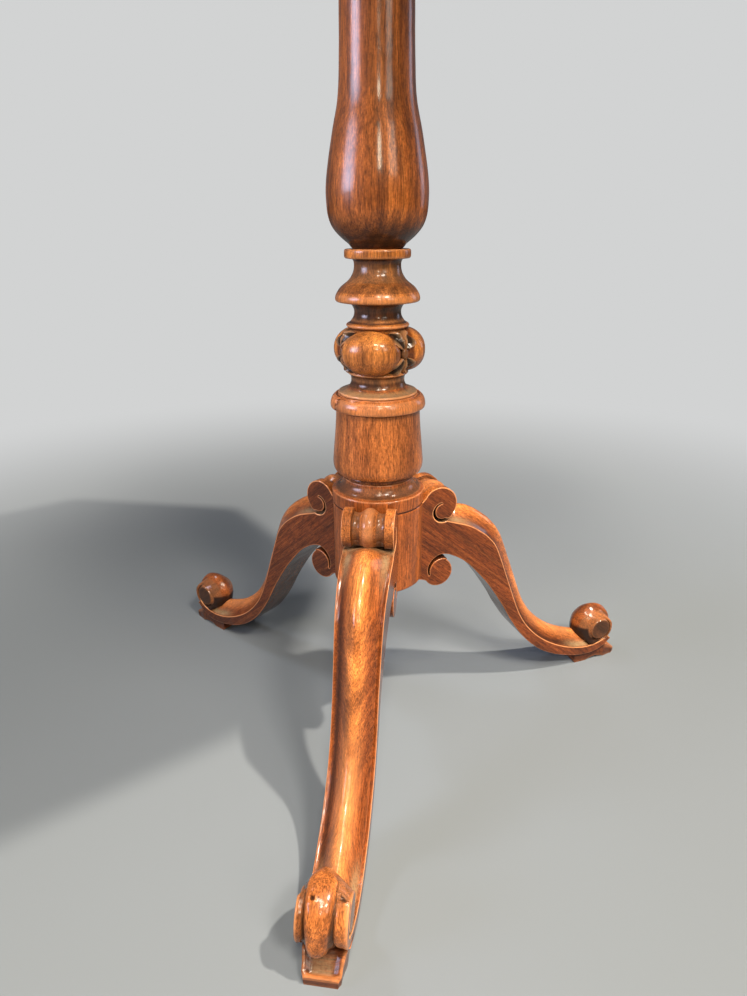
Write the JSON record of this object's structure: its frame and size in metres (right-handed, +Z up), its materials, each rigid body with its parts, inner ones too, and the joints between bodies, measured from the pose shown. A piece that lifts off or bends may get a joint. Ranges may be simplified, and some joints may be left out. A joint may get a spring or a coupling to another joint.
{
  "type": "octagonal occasional table",
  "caption": "Octagonal occasional table: an eight-sided moulded top on a turned baluster pillar with a carved knop, standing on scrolled tripod legs.",
  "frame": {"origin": "on the floor, on the axis of the pillar", "axes": "+Z up along the pillar; the front leg points along -Y; the flats of the top face the X and Y axes"},
  "size_m": [0.56, 0.56, 0.72],
  "materials": {
    "rosewood": "polished, dark figured rosewood",
    "rosewood_veneer": "polished rosewood veneer, radiating figure",
    "walnut": "polished red-brown walnut with open pores",
    "pine": "plain planed pine, unpolished",
    "iron": "dull iron"
  },
  "bodies": {
    "root": {"top_board_left": "pine", "top_board_middle": "pine", "top_board_right": "pine", "top_veneer_1": "rosewood_veneer", "top_veneer_2": "rosewood_veneer", "top_veneer_3": "rosewood_veneer", "top_veneer_4": "rosewood_veneer", "top_veneer_5": "rosewood_veneer", "top_veneer_6": "rosewood_veneer", "top_veneer_7": "rosewood_veneer", "top_veneer_8": "rosewood_veneer", "edge_moulding_1": "rosewood", "edge_moulding_2": "rosewood", "edge_moulding_3": "rosewood", "edge_moulding_4": "rosewood", "edge_moulding_5": "rosewood", "edge_moulding_6": "rosewood", "edge_moulding_7": "rosewood", "edge_moulding_8": "rosewood", "top_block": "walnut", "block_screws": "iron", "stem_wedge": "walnut", "baluster": "rosewood", "knop_section": "rosewood", "drum": "walnut", "hub": "walnut", "leg_front": "walnut", "leg_right": "walnut", "leg_left": "walnut", "foot_pad_front": "walnut", "foot_pad_right": "walnut", "foot_pad_left": "walnut"}
  },
  "joints": []
}
